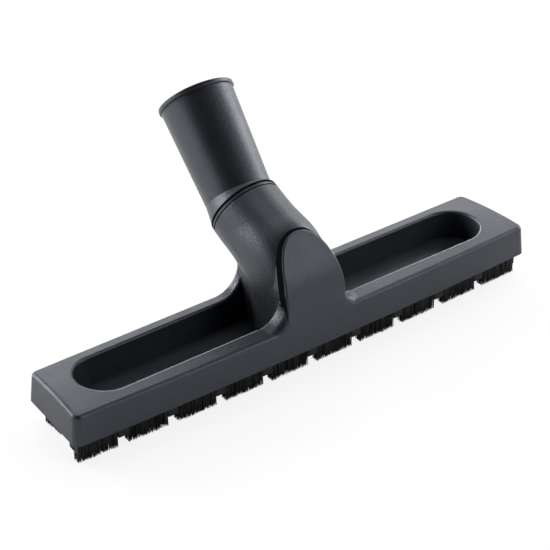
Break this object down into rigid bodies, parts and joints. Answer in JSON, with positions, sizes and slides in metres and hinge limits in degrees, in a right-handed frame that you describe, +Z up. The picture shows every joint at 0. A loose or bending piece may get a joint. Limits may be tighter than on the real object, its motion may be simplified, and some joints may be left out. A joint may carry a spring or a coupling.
{
  "type": "vacuum floor brush head",
  "caption": "Wide low floor brush head for a vacuum cleaner: a moulded bar with open trays, bristles below and a swivelling socket for a 35 mm tube.",
  "frame": {"origin": "middle of the bounding box's underside, on the floor that the bristle tips touch", "axes": "+X along the bar, +Y from the flat front towards the leaning neck and tube socket, +Z up"},
  "size_m": [0.2994, 0.1292, 0.128],
  "materials": {
    "moulded_plastic": "satin charcoal moulded plastic with a fine spark-eroded grain",
    "plate_plastic": "matte black moulded plastic",
    "bristle": "black bristle filaments",
    "screw_steel": "plain zinc-plated steel"
  },
  "bodies": {
    "head": {"housing": "moulded_plastic", "neck_rear_cover": "moulded_plastic", "swivel_bush": "moulded_plastic", "brush_plate": "plate_plastic", "plate_screws": "screw_steel", "front_bristles_1": "bristle", "front_bristles_2": "bristle", "front_bristles_3": "bristle", "front_bristles_4": "bristle", "front_bristles_5": "bristle", "front_bristles_6": "bristle", "front_bristles_7": "bristle", "front_bristles_8": "bristle", "front_bristles_9": "bristle", "front_bristles_10": "bristle", "rear_bristles_1": "bristle", "rear_bristles_2": "bristle", "rear_bristles_3": "bristle", "rear_bristles_4": "bristle", "rear_bristles_5": "bristle", "rear_bristles_6": "bristle", "rear_bristles_7": "bristle", "rear_bristles_8": "bristle", "rear_bristles_9": "bristle", "left_side_bristles": "bristle", "right_side_bristles": "bristle"},
    "socket": {"tube_socket": "moulded_plastic"}
  },
  "joints": [
    {"name": "socket_swivel", "type": "hinge", "parent": "head", "child": "socket", "pos_m": [0, -0.0023, 0.0676], "axis": [0, 0.8996, 0.4368], "continuous": true}
  ]
}
